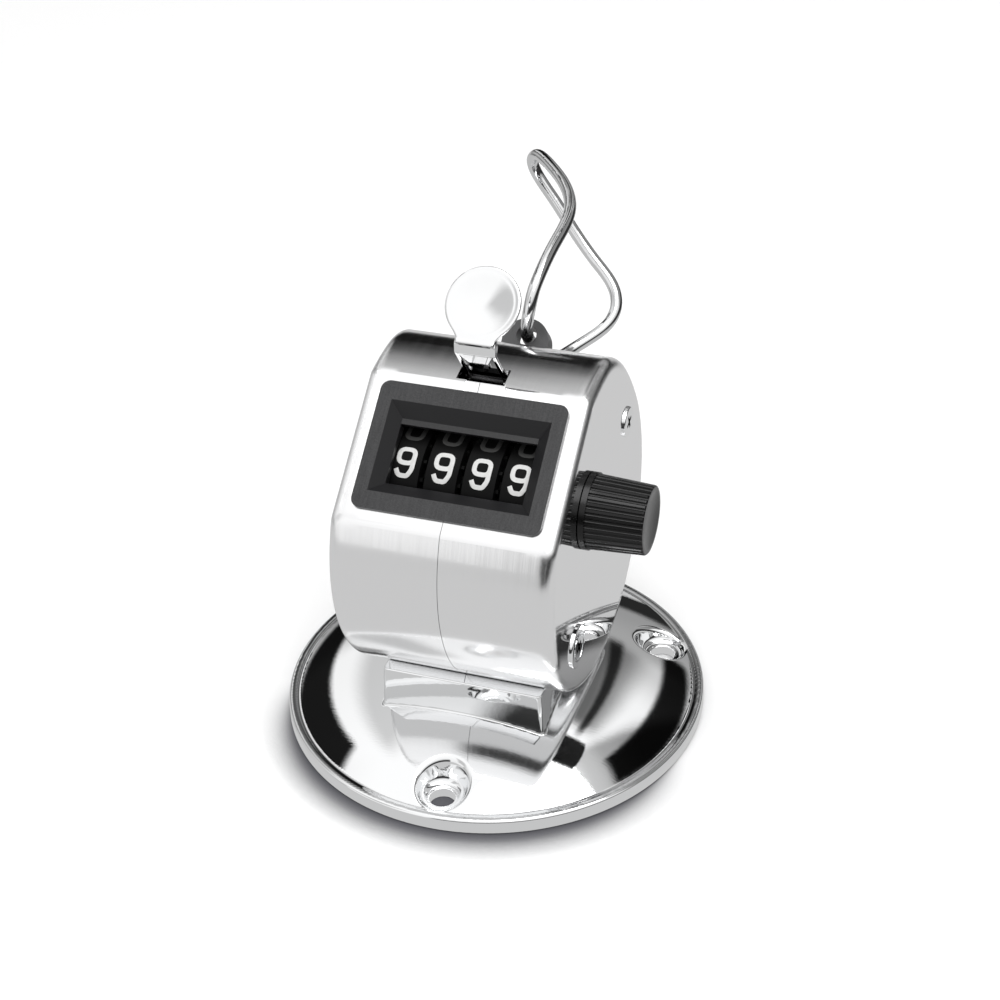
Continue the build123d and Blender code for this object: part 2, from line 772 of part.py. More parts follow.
# ---------------------------------------------------------------- finger ring
# Wire centre line: (x, t, s) from the centre of the lug hole
ring_stations = [
    (0.05, -0.2, 0.0), (0.3, -2.2, 0.0), (0.65, -4.2, 0.35), (1.0, -5.9, 1.4),
    (1.23, -6.94, 3.02), (1.39, -7.48, 5.01), (1.64, -7.4, 7.43), (1.9, -6.6, 10.5),
    (2.11, -5.09, 13.89), (2.39, -3.28, 17.46), (2.4, -1.92, 20.15), (1.8, -0.22, 23.11),
    (0.15, 1.66, 26.4), (-2.07, 3.39, 29.25), (-4.31, 4.97, 31.53), (-6.7, 6.7, 33.7),
    (-8.6, 8.2, 34.8), (-9.5, 9.7, 34.6), (-9.3, 11.3, 33.7), (-8.2, 12.79, 32.36),
    (-5.6, 14.54, 29.77), (-1.93, 16.74, 25.86), (2.88, 18.99, 21.19), (6.5, 20.32, 17.29),
    (7.3, 20.75, 14.4), (6.71, 20.83, 11.69), (5.0, 20.58, 9.2), (2.88, 19.92, 6.83),
    (1.21, 18.7, 4.6), (0.3, 16.6, 2.7), (0.0, 13.8, 1.3), (0.0, 10.4, 0.5),
    (0.0, 6.8, 0.1), (0.0, 3.4, 0.0), (0.0, 0.2, 0.0),
]
with BuildPart() as finger_ring:
    with BuildLine() as ring_path:
        Spline(*[lug_point(x, t + lug_mid_t, s + lug_hole_s) for x, t, s in ring_stations])
    with BuildSketch(Plane(origin=ring_path.line @ 0, z_dir=ring_path.line % 0)):
        Circle(1.0)
    sweep(path=ring_path.line, is_frenet=True)
save(finger_ring.part, "finger_ring")
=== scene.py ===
"""Desk tally counter: a chrome case with four number wheels on a round cast base.

The base stands on z = 0 and the wheels turn about X. The dial faces the front, -Y, and up.
Meshes are worked out in millimetres and stored in metres. Materials work in metres.
"""
import math

import bmesh
import bpy
import numpy as np
from mathutils import Matrix, Vector


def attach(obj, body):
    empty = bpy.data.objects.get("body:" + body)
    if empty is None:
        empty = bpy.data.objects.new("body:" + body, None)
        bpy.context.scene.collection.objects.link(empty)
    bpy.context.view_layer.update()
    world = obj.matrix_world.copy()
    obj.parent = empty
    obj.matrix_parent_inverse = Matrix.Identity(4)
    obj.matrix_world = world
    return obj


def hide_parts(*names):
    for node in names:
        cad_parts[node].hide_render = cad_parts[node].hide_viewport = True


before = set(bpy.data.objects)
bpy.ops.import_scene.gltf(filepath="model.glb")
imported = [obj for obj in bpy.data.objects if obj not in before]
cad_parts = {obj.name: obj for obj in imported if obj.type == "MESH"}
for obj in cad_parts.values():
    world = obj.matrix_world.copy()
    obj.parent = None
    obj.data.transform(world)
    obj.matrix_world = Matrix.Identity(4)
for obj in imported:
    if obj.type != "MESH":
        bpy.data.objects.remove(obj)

MM = 0.001
DEGREES = 180 / math.pi
SIN45 = math.sqrt(0.5)
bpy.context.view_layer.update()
scene = bpy.context.scene


# ------------------------------------------------------------ node helpers
class Nodes:
    """Writes a node tree as expressions: each method adds nodes and returns an output."""

    def __init__(self, tree):
        self.tree = tree
        tree.nodes.clear()

    def node(self, kind, **settings):
        made = self.tree.nodes.new("ShaderNode" + kind)
        for key, value in settings.items():
            setattr(made, key, value)
        return made

    def put(self, socket, value):
        """Link an output to the socket, or set the socket to a plain value."""
        if isinstance(value, bpy.types.NodeSocket):
            self.tree.links.new(value, socket)
        else:
            socket.default_value = value

    def calc(self, operation, a, b=0.0, c=0.0):
        made = self.node("Math", operation=operation)
        for socket, value in zip(made.inputs, (a, b, c)):
            self.put(socket, value)
        return made.outputs[0]

    def add(self, a, b):
        return self.calc("ADD", a, b)

    def sub(self, a, b):
        return self.calc("SUBTRACT", a, b)

    def mul(self, a, b):
        return self.calc("MULTIPLY", a, b)

    def size(self, a):
        return self.calc("ABSOLUTE", a)

    def azimuth(self, x, y):
        """Degrees from +X towards +Y."""
        return self.mul(self.calc("ARCTAN2", y, x), DEGREES)

    def ramp(self, value, over, to=(0.0, 1.0)):
        """Smooth step between the values in 'to' as the input crosses 'over'."""
        made = self.node("MapRange", interpolation_type="SMOOTHSTEP")
        self.put(made.inputs[0], value)
        for i, limit in enumerate((*over, *to)):
            made.inputs[i + 1].default_value = limit
        return made.outputs[0]

    def coord(self):
        return self.node("TexCoord").outputs["Object"]

    def split(self, vector):
        made = self.node("SeparateXYZ")
        self.put(made.inputs[0], vector)
        return made.outputs

    def along(self, vector, direction):
        """Component of a vector in a direction."""
        made = self.node("VectorMath", operation="DOT_PRODUCT")
        self.put(made.inputs[0], vector)
        made.inputs[1].default_value = direction
        return made.outputs["Value"]

    def noise(self, scale, detail=2.0, stretch=None, rough=0.5):
        vector = self.coord()
        if stretch is not None:
            mapping = self.node("Mapping")
            self.put(mapping.inputs[0], vector)
            mapping.inputs["Scale"].default_value = stretch
            vector = mapping.outputs[0]
        made = self.node("TexNoise")
        self.put(made.inputs["Vector"], vector)
        made.inputs["Scale"].default_value = scale
        made.inputs["Detail"].default_value = detail
        made.inputs["Roughness"].default_value = rough
        return made.outputs[0]

    def mix(self, factor, a, b):
        """Colour a where the factor is 0, b where it is 1."""
        made = self.node("Mix", data_type="RGBA")
        self.put(made.inputs[0], factor)
        for i, color in ((6, a), (7, b)):
            self.put(made.inputs[i], (*color, 1.0) if isinstance(color, tuple) else color)
        return made.outputs[2]

    def bump(self, height, strength, distance, normal=None):
        made = self.node("Bump")
        made.inputs["Strength"].default_value = strength
        made.inputs["Distance"].default_value = distance
        self.put(made.inputs["Height"], height)
        if normal is not None:
            self.put(made.inputs["Normal"], normal)
        return made.outputs[0]

    def openness(self, reach, over):
        """0 deep inside a gap or housing, 1 in the open."""
        shade = self.node("AmbientOcclusion", samples=8)
        shade.inputs["Distance"].default_value = reach
        return self.ramp(shade.outputs["AO"], over)

    def smudge(self, to):
        """Roughness that wanders a little, like handled metal."""
        return self.ramp(self.noise(scale=60.0, detail=4.0, rough=0.6), over=(0.3, 0.75), to=to)


class Material(Nodes):
    INPUTS = {
        "color": "Base Color", "metal": "Metallic", "rough": "Roughness",
        "spec": "Specular IOR Level", "normal": "Normal",
        "coat_rough": "Coat Roughness",
        "emission": "Emission Color", "emission_strength": "Emission Strength",
    }

    def __init__(self, name):
        self.data = bpy.data.materials.new(name)
        self.data.use_nodes = True
        super().__init__(self.data.node_tree)
        self.out = self.node("OutputMaterial")
        self.shader = self.node("BsdfPrincipled")
        self.put(self.out.inputs[0], self.shader.outputs[0])

    def set(self, **values):
        for key, value in values.items():
            if isinstance(value, tuple):
                value = (*value, 1.0)
            self.put(self.shader.inputs[self.INPUTS[key]], value)


# ------------------------------------------------------------ materials
# colour of painted shade in recesses, which on the case also stands for its dull unplated inner
# faces
RECESS_SHADE_BLACK = (0.02, 0.02, 0.021)
DIAL_NORMAL = (0, -0.608, 0.794)  # outward from the sloping dial


def scaled(color, factor):
    return tuple(v * factor for v in color)


def make_chrome(name, tint, rough, recess_shade=None):
    """Bright plating; the optional openness settings darken its recesses with painted shade."""
    m = Material(name)
    scratch = m.noise(scale=900.0, detail=3.0, stretch=(1.0, 6.0, 1.0))
    cool = (tint * 0.94, tint * 0.95, tint * 0.96)
    color = m.mix(m.noise(scale=25.0, detail=3.0), (tint,) * 3, cool)
    if recess_shade:
        # painted shade: darker where little of the surroundings is open
        color = m.mix(m.openness(**recess_shade), RECESS_SHADE_BLACK, color)
    m.set(
        color=color,
        metal=1.0,
        rough=m.smudge(to=rough),
        normal=m.bump(scratch, strength=0.015, distance=0.0002),
    )
    return m.data


def make_case():
    """Satin front and top with a fine grain round the drum, mirror side walls."""
    m = Material("case_satin_chrome")
    geometry = m.node("NewGeometry")
    side = m.ramp(m.size(m.split(geometry.outputs["Normal"])[0]), over=(0.55, 0.9))
    grain = m.noise(scale=2400.0, detail=3.0, stretch=(1.0, 0.030, 0.030), rough=0.65)
    satin = m.ramp(grain, over=(0.3, 0.7), to=(0.12, 0.17))
    mirror = m.smudge(to=(0.03, 0.06))
    rough = m.add(m.mul(satin, m.sub(1.0, side)), m.mul(mirror, side))
    height = m.mul(grain, m.sub(1.0, side))
    # hairline between the two halves, and a darkening by openness that stands for the dull
    # unplated inner faces and is also painted shade low on the outside near the base
    across = m.split(m.coord())[0]
    off_seam = m.ramp(m.size(across), over=(0.000025, 0.00006))
    shade_openness = m.openness(reach=0.012, over=(0.02, 0.19))
    bright = m.mix(off_seam, (0.10, 0.10, 0.105), (0.95, 0.95, 0.955))
    # normals rounded over where the drum meets the side walls
    bevel = m.node("Bevel", samples=8)
    bevel.inputs["Radius"].default_value = 0.0019
    edge = m.ramp(m.size(across), over=(0.0124, 0.0140))
    normal = m.node("Mix", data_type="VECTOR")
    m.put(normal.inputs[0], edge)
    m.put(normal.inputs[4], geometry.outputs["Normal"])
    m.put(normal.inputs[5], bevel.outputs[0])
    m.set(
        color=m.mix(shade_openness, RECESS_SHADE_BLACK, bright),
        metal=1.0,
        rough=rough,
        normal=m.bump(height, strength=0.10, distance=0.00003, normal=normal.outputs[1]),
    )
    return m.data


def make_bezel():
    """Black, with texture only on the outer face of the dial surround."""
    m = Material("bezel_textured_black")
    facing = m.along(m.node("NewGeometry").outputs["Normal"], DIAL_NORMAL)
    outer = m.ramp(m.along(m.coord(), DIAL_NORMAL), over=(0.0468, 0.0474))
    face = m.mul(m.ramp(facing, over=(0.97, 0.995)), outer)
    speckle = m.noise(scale=5200.0, detail=3.0, rough=0.7)
    brush = m.noise(scale=2600.0, stretch=(1.0, 0.1, 0.1))
    tone = m.add(m.mul(speckle, 0.7), m.mul(brush, 0.3))
    tone_step = m.ramp(tone, over=(0.3, 0.7))
    textured = m.mix(tone_step, (0.022, 0.022, 0.023), (0.050, 0.050, 0.052))
    m.set(
        color=m.mix(face, (0.011, 0.011, 0.012), textured),
        rough=m.ramp(face, over=(0.0, 1.0), to=(0.36, 0.55)),
        spec=0.38,
        normal=m.bump(m.mul(tone, face), strength=0.5, distance=0.00003),
    )
    return m.data


def make_plastic(name, color, rough, grain=1800.0, strength=0.12, spec=0.5):
    m = Material(name)
    height = m.noise(scale=grain, detail=3.0)
    patches = m.noise(scale=120.0, detail=3.0)
    m.set(
        color=m.mix(patches, scaled(color, 0.88), scaled(color, 1.12)),
        rough=m.ramp(
            m.noise(scale=220.0, detail=3.0), over=(0.3, 0.7), to=(rough * 0.85, rough * 1.15)
        ),
        spec=spec,
        coat_rough=0.12,
        normal=m.bump(height, strength=strength, distance=0.00002),
    )
    return m.data


def make_steel(name, color, rough, stretch=(1.0, 1.0, 0.05)):
    """Bare metal with a directional grain, with painted shade where it is shut in."""
    m = Material(name)
    grain = m.noise(scale=1300.0, detail=3.0, stretch=stretch)
    # painted shade: colour darkened where the part is shut in
    shade_openness = m.openness(reach=0.010, over=(0.50, 0.98))
    patchy = m.mix(m.noise(scale=90.0, detail=4.0), scaled(color, 0.86), color)
    m.set(
        color=m.mix(shade_openness, scaled(color, 0.05), patchy),
        metal=1.0,
        rough=m.ramp(grain, over=(0.3, 0.7), to=(rough * 0.8, rough * 1.25)),
        normal=m.bump(grain, strength=0.12, distance=0.00003),
    )
    return m.data


def make_ink():
    m = Material("digit_ivory_ink")
    grain = m.noise(scale=2600.0, detail=3.0)
    # painted shade: ink above a set height is darkened, standing for the shade of the window's
    # upper lip
    height = m.split(m.node("NewGeometry").outputs["Position"])[2]
    lit = m.ramp(height, over=(0.05125, 0.05165), to=(1.0, 0.0))
    ivory = m.mix(grain, (0.60, 0.60, 0.59), (0.76, 0.76, 0.75))
    m.set(
        color=m.mix(lit, (0.045, 0.045, 0.044), ivory),
        rough=m.ramp(grain, over=(0.3, 0.7), to=(0.42, 0.6)),
        spec=0.35,
        normal=m.bump(grain, strength=0.2, distance=0.00002),
    )
    return m.data


MATERIALS = {
    "base": make_chrome("base_mirror_chrome", tint=0.94, rough=(0.015, 0.035)),
    "case": make_case(),
    "bright": make_chrome(
        "bright_chrome", tint=0.95, rough=(0.04, 0.09), recess_shade=dict(reach=0.008, over=(0.05, 0.20))
    ),
    "wire": make_chrome(
        "wire_chrome", tint=0.82, rough=(0.05, 0.10), recess_shade=dict(reach=0.004, over=(0.40, 0.80))
    ),
    "bezel": make_bezel(),
    "wheel": make_plastic("wheel_black", color=(0.004,) * 3, rough=0.42, spec=0.08),
    "knob": make_plastic(
        "knob_black", color=(0.003,) * 3, rough=0.23, grain=1500.0, strength=0.08, spec=0.36
    ),
    "lug": make_plastic(
        "lug_grey", color=(0.055, 0.055, 0.056), rough=0.42, grain=2200.0, strength=0.25
    ),
    "steel": make_steel("frame_steel", color=(0.58, 0.58, 0.60), rough=0.28),
    "turned": make_steel(
        "turned_steel", color=(0.64, 0.64, 0.66), rough=0.20, stretch=(0.05, 1.0, 1.0)
    ),
    "spring": make_steel("spring_steel", color=(0.36, 0.36, 0.38), rough=0.30),
    "brass": make_steel("pinion_brass", color=(0.70, 0.53, 0.27), rough=0.26),
    "ink": make_ink(),
}

# parts of each material; every other part is frame steel
MATERIAL_PARTS = {
    "base": "base",
    "case": "case_left case_right",
    "bezel": "bezel",
    "bright": "lever upper_side_screws lower_side_screws",
    "wire": "finger_ring",
    "lug": "ring_lug",
    "knob": "reset_knob",
    "wheel": "wheel_units wheel_tens wheel_hundreds wheel_thousands",
    "brass": "units_ratchet transfer_pinion_units transfer_pinion_tens"
             " transfer_pinion_hundreds",
    "spring": "lever_spring detent_spring drive_pawl",
    "turned": "wheel_shaft pinion_shaft lever_pin pawl_pin lever_sleeve pillars"
              " shaft_spacers pinion_spacers saddle_screws",
}
PART_MATERIAL = {part: key for key, parts in MATERIAL_PARTS.items() for part in parts.split()}


# ------------------------------------------------------------ object helpers
def smooth(mesh):
    """Smooth shading, broken at edges sharper than 30 degrees."""
    mesh.polygons.foreach_set("use_smooth", [True] * len(mesh.polygons))
    mesh.set_sharp_from_angle(angle=math.radians(30))


def add_object(name, data):
    made = bpy.data.objects.new(name, data)
    scene.collection.objects.link(made)
    return made


for part_name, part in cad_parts.items():
    part.data.materials.clear()
    part.data.materials.append(MATERIALS[PART_MATERIAL.get(part_name, "steel")])
    if not part.data.has_custom_normals:
        smooth(part.data)

# ------------------------------------------------------------ dial digits
WHEEL_Y, WHEEL_Z, WHEEL_R = -3.9, 42.1, 10.0
WHEEL_PITCH = 5.95
NINE_ANGLE = 128.0  # where the 9 stands on the rim, from +Y towards +Z
DIGIT_STEP = 36.0
STROKE = 0.72
INK_TOP, INK_FOOT = 0.03, -0.06  # above and below the rim
INK_EDGE = 0.012
# section of a stroke: across it in stroke widths, height from the rim
STROKE_SECTION = (
    (0.5, INK_FOOT), (0.5, INK_TOP - INK_EDGE), (0.47, INK_TOP),
    (-0.47, INK_TOP), (-0.5, INK_TOP - INK_EDGE), (-0.5, INK_FOOT),
)

# strokes of each digit: centre line (across, up) from the digit's middle,
# corner rounding (one value or one per point), closed or open
GLYPHS = {
    0: [([(-1.2, -2.1), (1.2, -2.1), (1.2, 2.1), (-1.2, 2.1)], 1.0, True)],
    1: [([(-0.75, 1.25), (0.35, 2.1), (0.35, -2.1)], [0, 0.1, 0], False)],
    2: [([(-1.2, 1.15), (-1.2, 2.1), (1.2, 2.1), (1.2, 0.35),
          (-1.15, -1.5), (-1.15, -2.1), (1.25, -2.1)],
         [0, 0.9, 0.9, 0.7, 0.4, 0.1, 0], False)],
    3: [([(-1.2, 1.25), (-1.2, 2.1), (1.15, 2.1), (1.15, 0.12), (-0.35, 0.12)], 0.85, False),
        ([(0.3, 0.12), (1.2, 0.12), (1.2, -2.1), (-1.2, -2.1), (-1.2, -1.2)], 0.9, False)],
    4: [([(0.55, -2.1), (0.55, 2.1), (-1.2, -0.75), (1.25, -0.75)], [0, 0.05, 0.05, 0], False)],
    5: [([(1.1, 2.1), (-1.05, 2.1), (-1.15, 0.3), (1.2, 0.45),
          (1.2, -2.1), (-1.2, -2.1), (-1.2, -1.3)],
         [0, 0.1, 0.1, 1.0, 1.0, 0.9, 0], False)],
    7: [([(-1.2, 2.1), (1.2, 2.1), (-0.35, -2.1)], [0, 0.15, 0], False)],
    8: [([(-1.05, 0.1), (1.05, 0.1), (1.05, 2.1), (-1.05, 2.1)], 0.85, True),
        ([(-1.2, -2.1), (1.2, -2.1), (1.2, 0.1), (-1.2, 0.1)], 0.95, True)],
    9: [([(-1.2, -0.12), (1.2, -0.12), (1.2, 2.1), (-1.2, 2.1)], 0.95, True),
        ([(1.2, 0.75), (1.2, -1.05), (0.62, -2.1), (-0.75, -2.1), (-1.25, -1.15)],
         [0, 0.5, 0.35, 0.45, 0], False)],
}
# the 6 is the 9 turned half round
GLYPHS[6] = [([(-x, -y) for x, y in pts], radii, closed) for pts, radii, closed in GLYPHS[9]]


def rounded(points, radii, closed, steps=7):
    """Polyline with its corners replaced by quadratic curves."""
    out = []
    count = len(points)
    for i, point in enumerate(points):
        radius = radii[i] if isinstance(radii, list) else radii
        corner = np.array(point, float)
        if radius <= 0 or (not closed and i in (0, count - 1)):
            out.append(corner)
            continue
        back = np.array(points[i - 1], float) - corner
        ahead = np.array(points[(i + 1) % count], float) - corner
        back_len, ahead_len = np.hypot(*back), np.hypot(*ahead)
        cut = min(radius, back_len * 0.5, ahead_len * 0.5)
        start, end = corner + back / back_len * cut, corner + ahead / ahead_len * cut
        for j in range(steps + 1):
            t = j / steps
            out.append((1 - t) ** 2 * start + 2 * t * (1 - t) * corner + t * t * end)
    return out


def densify(points, closed, step=0.22, closest=0.03):
    """Add points so that none are over 'step' apart, and drop any nearly on top of another."""
    out = []
    for i in range(len(points) if closed else len(points) - 1):
        a, b = points[i], points[(i + 1) % len(points)]
        parts = max(1, int(math.ceil(np.hypot(*(b - a)) / step)))
        for j in range(parts):
            out.append(a + (b - a) * j / parts)
    if not closed:
        out.append(points[-1])
    keep = [out[0]]
    for point in out[1:]:
        if np.hypot(*(point - keep[-1])) > closest:
            keep.append(point)
    if closed and np.hypot(*(keep[-1] - keep[0])) < closest:
        keep.pop()
    return keep


def add_stroke(bm, points, closed, centre_x, angle):
    """Closed raised ribbon along the points, wrapped on the wheel rim."""
    count = len(points)
    rows = []
    for i, point in enumerate(points):
        after = points[(i + 1) % count]
        if closed:
            tangent = after - points[i - 1]
        else:
            tangent = points[min(i + 1, count - 1)] - points[max(i - 1, 0)]
        tangent = tangent / np.hypot(*tangent)
        miter = 1.0
        if closed or 0 < i < count - 1:
            a, b = point - points[i - 1], after - point
            turn_cos = float(a @ b) / (np.hypot(*a) * np.hypot(*b))
            miter = min(1.0 / max(math.sqrt((1 + turn_cos) / 2), 0.45), 1.7)
        normal = np.array([-tangent[1], tangent[0]])
        ring = []
        for offset, height in STROKE_SECTION:
            x, y = point + normal * offset * STROKE * miter
            around = math.radians(angle) - y / WHEEL_R
            radius = WHEEL_R + height
            ring.append(bm.verts.new((
                (centre_x + x) * MM,
                (WHEEL_Y + radius * math.cos(around)) * MM,
                (WHEEL_Z + radius * math.sin(around)) * MM,
            )))
        rows.append(ring)
    sides = len(STROKE_SECTION)
    for i in range(count if closed else count - 1):
        a, b = rows[i], rows[(i + 1) % count]
        for j in range(sides):
            k = (j + 1) % sides
            bm.faces.new((a[j], a[k], b[k], b[j]))
    if not closed:
        bm.faces.new(rows[0][::-1])
        bm.faces.new(rows[-1])


def make_digits(wheel, centre_x):
    bm = bmesh.new()
    for digit in range(10):
        angle = NINE_ANGLE - DIGIT_STEP * (digit - 9)
        for points, radii, closed in GLYPHS[digit]:
            line = densify(rounded(points, radii, closed), closed)
            add_stroke(bm, line, closed, centre_x, angle)
    bmesh.ops.recalc_face_normals(bm, faces=bm.faces[:])
    name = "digits_" + wheel
    mesh = bpy.data.meshes.new(name)
    bm.to_mesh(mesh)
    bm.free()
    digits = add_object(name, mesh)
    mesh.materials.append(MATERIALS["ink"])
    smooth(mesh)
    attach(digits, wheel)


for i, wheel in enumerate(("thousands", "hundreds", "tens", "units")):
    make_digits(wheel, (i - 1.5) * WHEEL_PITCH)


# ------------------------------------------------------------ implicit solids
# A solid is a distance function, negative inside.
def smin(a, b, blend):
    """Union with a blended joint."""
    h = np.clip(0.5 + 0.5 * (b - a) / blend, 0, 1)
    return b * (1 - h) + a * h - blend * h * (1 - h)


def smax(a, b, blend):
    """Intersection with a rounded edge."""
    return -smin(-a, -b, blend)


def box(u, v):
    """Distance to a rectangle, from the distances past its two pairs of sides."""
    return np.hypot(np.maximum(u, 0), np.maximum(v, 0)) + np.minimum(np.maximum(u, v), 0)


def surface_nets(solid, low, high, step):
    """Quad mesh of the solid's surface, one vertex in each grid cell that it crosses."""
    n = [int(round((high[i] - low[i]) / step)) + 1 for i in range(3)]
    axes = [low[i] + step * np.arange(n[i]) for i in range(3)]
    value = solid(*np.meshgrid(*axes, indexing="ij"))
    inside = value < 0
    corners = [(i & 1, i >> 1 & 1, i >> 2) for i in range(8)]
    first = inside[:-1, :-1, :-1]
    mixed = np.zeros(first.shape, bool)
    for i, j, k in corners:
        mixed |= inside[i:n[0] - 1 + i, j:n[1] - 1 + j, k:n[2] - 1 + k] != first
    cells = np.argwhere(mixed)
    index = -np.ones(mixed.shape, np.int64)
    index[mixed] = np.arange(len(cells))
    # each vertex is the mean of the crossings on its cell's twelve edges
    total = np.zeros((len(cells), 3))
    count = np.zeros(len(cells))
    for corner in corners:
        for axis in range(3):
            if corner[axis]:
                continue
            end = list(corner)
            end[axis] = 1
            at_a, at_b = cells + np.array(corner), cells + np.array(end)
            a, b = value[tuple(at_a.T)], value[tuple(at_b.T)]
            crossed = (a < 0) != (b < 0)
            t = np.where(crossed, a / np.where(crossed, a - b, 1), 0)
            point = at_a + t[:, None] * (at_b - at_a)
            total[crossed] += point[crossed]
            count[crossed] += 1
    points = total / count[:, None] * step + np.array(low)
    # one quad round each grid edge that the surface crosses
    quads = []
    for axis in range(3):
        u, v = [i for i in range(3) if i != axis]
        near, far = [slice(None)] * 3, [slice(None)] * 3
        near[axis], far[axis] = slice(0, n[axis] - 1), slice(1, n[axis])
        a, b = inside[tuple(near)], inside[tuple(far)]
        edges = np.argwhere(a != b)
        edges = edges[
            (edges[:, u] > 0) & (edges[:, v] > 0)
            & (edges[:, u] < n[u] - 1) & (edges[:, v] < n[v] - 1)
        ]
        starts_in = a[tuple(edges.T)]
        quad = []
        for du, dv in ((0, 0), (-1, 0), (-1, -1), (0, -1)):
            cell = edges.copy()
            cell[:, u] += du
            cell[:, v] += dv
            quad.append(index[tuple(cell.T)])
        quad = np.stack(quad, 1)
        turn = starts_in if axis == 1 else ~starts_in
        quad[turn] = quad[turn][:, ::-1]
        quads.append(quad)
    return points, np.concatenate(quads)


def gradient(solid, points, reach=0.004):
    out = np.empty_like(points)
    for i in range(3):
        shift = np.zeros(3)
        shift[i] = reach
        out[:, i] = (solid(*(points + shift).T) - solid(*(points - shift).T)) / (2 * reach)
    return out


def settle(solid, points, passes=4, longest=0.2):
    """Pull points onto the surface; returns them with their unit normals."""
    for _ in range(passes):
        slope = gradient(solid, points)
        steepness = np.maximum((slope * slope).sum(1), 0.05)
        move = np.clip(solid(*points.T) / steepness, -longest, longest)
        points = points - slope * move[:, None]
    slope = gradient(solid, points)
    return points, slope / np.maximum(np.linalg.norm(slope, axis=1), 1e-6)[:, None]


def implicit_piece(name, solid, low, high, step, material, node, body):
    points, quads = surface_nets(solid, low, high, step)
    points, normals = settle(solid, points)
    mesh = bpy.data.meshes.new(name)
    mesh.from_pydata((points * MM).tolist(), [], quads.tolist())
    mesh.materials.append(MATERIALS[material])
    mesh.polygons.foreach_set("use_smooth", [True] * len(mesh.polygons))
    mesh.normals_split_custom_set_from_vertices(normals.tolist())
    mesh.update()
    made = add_object(name, mesh)
    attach(made, body)
    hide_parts(node)


# ------------------------------------------------------------ the base
DOME_R, DOME_TOP = 76.5, 9.67
DISC_R = 33.2
RIM_R, RIM_HALF_W, RIM_HALF_H, RIM_ROUND = 33.28, 0.72, 1.32, 0.55
BLOCK_Y = 2.2  # centre of the pedestal block, its seat and its screw holes
BLOCK_HALF_X, BLOCK_HALF_Y, BLOCK_SIZE_Z = 13.5, 18.2, 5.3  # half sizes, and their height
BLOCK_DRAFT, BLOCK_ROUND, BLOCK_TOP, BLOCK_EDGE = 3.0, 0.6, 14.0, 0.24
SEAT_Z, SEAT_R = 34.0, 25.13  # hollow that cradles the case
HOLE_ANGLES = (-88.0, 32.0, 152.0)
HOLE_CIRCLE_R, HOLE_R = 28.5, 2.0
WELL_FLOOR, WELL_R, WELL_FLARE, WELL_RISE = 1.8, 3.15, 1.05, 2.6  # flared pocket at each hole
HOLLOW_R, HOLLOW_TOP = 23.0, 5.0
SCREW_X, SCREW_R = 8.0, 1.6


def base_solid(x, y, z):
    r = np.hypot(x, y)
    dome = np.sqrt(r * r + (z - (DOME_TOP - DOME_R)) ** 2) - DOME_R
    # pedestal block with drafted sides and rounded plan corners
    inset = np.tan(np.radians(BLOCK_DRAFT)) * (z - BLOCK_SIZE_Z)
    past_x = np.abs(x) - (BLOCK_HALF_X - inset) + BLOCK_ROUND
    past_y = np.abs(y - BLOCK_Y) - (BLOCK_HALF_Y - inset) + BLOCK_ROUND
    block = box(past_x, past_y) - BLOCK_ROUND
    block = smax(block, z - BLOCK_TOP, BLOCK_EDGE)
    block = smax(block, -(np.hypot(y - BLOCK_Y, z - SEAT_Z) - SEAT_R), BLOCK_EDGE)
    body = smin(dome, block, blend=0.32)
    from_holes = []
    for angle in HOLE_ANGLES:
        a = math.radians(angle)
        from_holes.append(
            np.hypot(x - HOLE_CIRCLE_R * math.cos(a), y - HOLE_CIRCLE_R * math.sin(a))
        )
    well_r = WELL_R + WELL_FLARE * np.clip((z - WELL_FLOOR) / WELL_RISE, 0, 1.6) ** 0.7
    for distance in from_holes:
        well = smax(distance - well_r, WELL_FLOOR - z, blend=0.9)
        body = smax(body, -well, blend=0.75)
    disc = smax(r - DISC_R, -z, blend=0.2)
    body = smax(body, disc, blend=0.2)
    # rolled rim
    past_r = np.abs(r - RIM_R) - RIM_HALF_W + RIM_ROUND
    past_z = np.abs(z - RIM_HALF_H) - RIM_HALF_H + RIM_ROUND
    body = smin(body, box(past_r, past_z) - RIM_ROUND, blend=0.6)
    for distance in from_holes:
        body = smax(body, HOLE_R - distance, blend=0.25)
    # hollow underside and the two screw holes through the block
    body = smax(body, -smax(r - HOLLOW_R, z - HOLLOW_TOP, blend=0.6), blend=0.3)
    for screw_x in (-SCREW_X, SCREW_X):
        body = smax(body, SCREW_R - np.hypot(x - screw_x, y - BLOCK_Y), blend=0.2)
    return body


implicit_piece(
    "base_casting", base_solid, low=(-34.6, -34.6, -0.7), high=(34.6, 34.6, 14.7), step=0.27,
    material="base", node="base", body="body",
)

# ------------------------------------------------------------ the thumb lever
# The pad faces forward and up at 45 degrees, 7.75 up the slope from (-3.6, 66.2).
PAD_Y, PAD_Z = -3.6 + 7.75 * SIN45, 66.2 + 7.75 * SIN45
PAD_R, DISH_R, DISH_DEPTH = 5.8, 4.75, 0.46
LIP_R, LIP_WIDTH, LIP_HEIGHT = 5.45, 0.30, 0.04
NECK_MID, NECK_HALF, NECK_END = -4.5, 1.8, -6.25  # up the slope from the pad's centre
SHEET = 0.62
STRAP_HALF_W = 2.8
# points as (y, z)
BEND, KNEE, STRAP_END = (-2.36, 67.44), (-2.5, 65.4), (-0.33, 62.03)
PIVOT, HUB_R, PIN_R = (3.77, 57.6), 1.9, 1.5
CHEEK_X, CHEEK_HALF_T = 2.87, 0.33
CHEEK = [
    (-1.9, 67.6), (-2.42, 66.9), (-2.47, 65.45), (2.45, 58.49), (2.82, 56.88),
    (4.63, 58.3), (2.75, 59.23), (-1.55, 65.2), (-1.0, 66.4), (-1.2, 67.6),
]


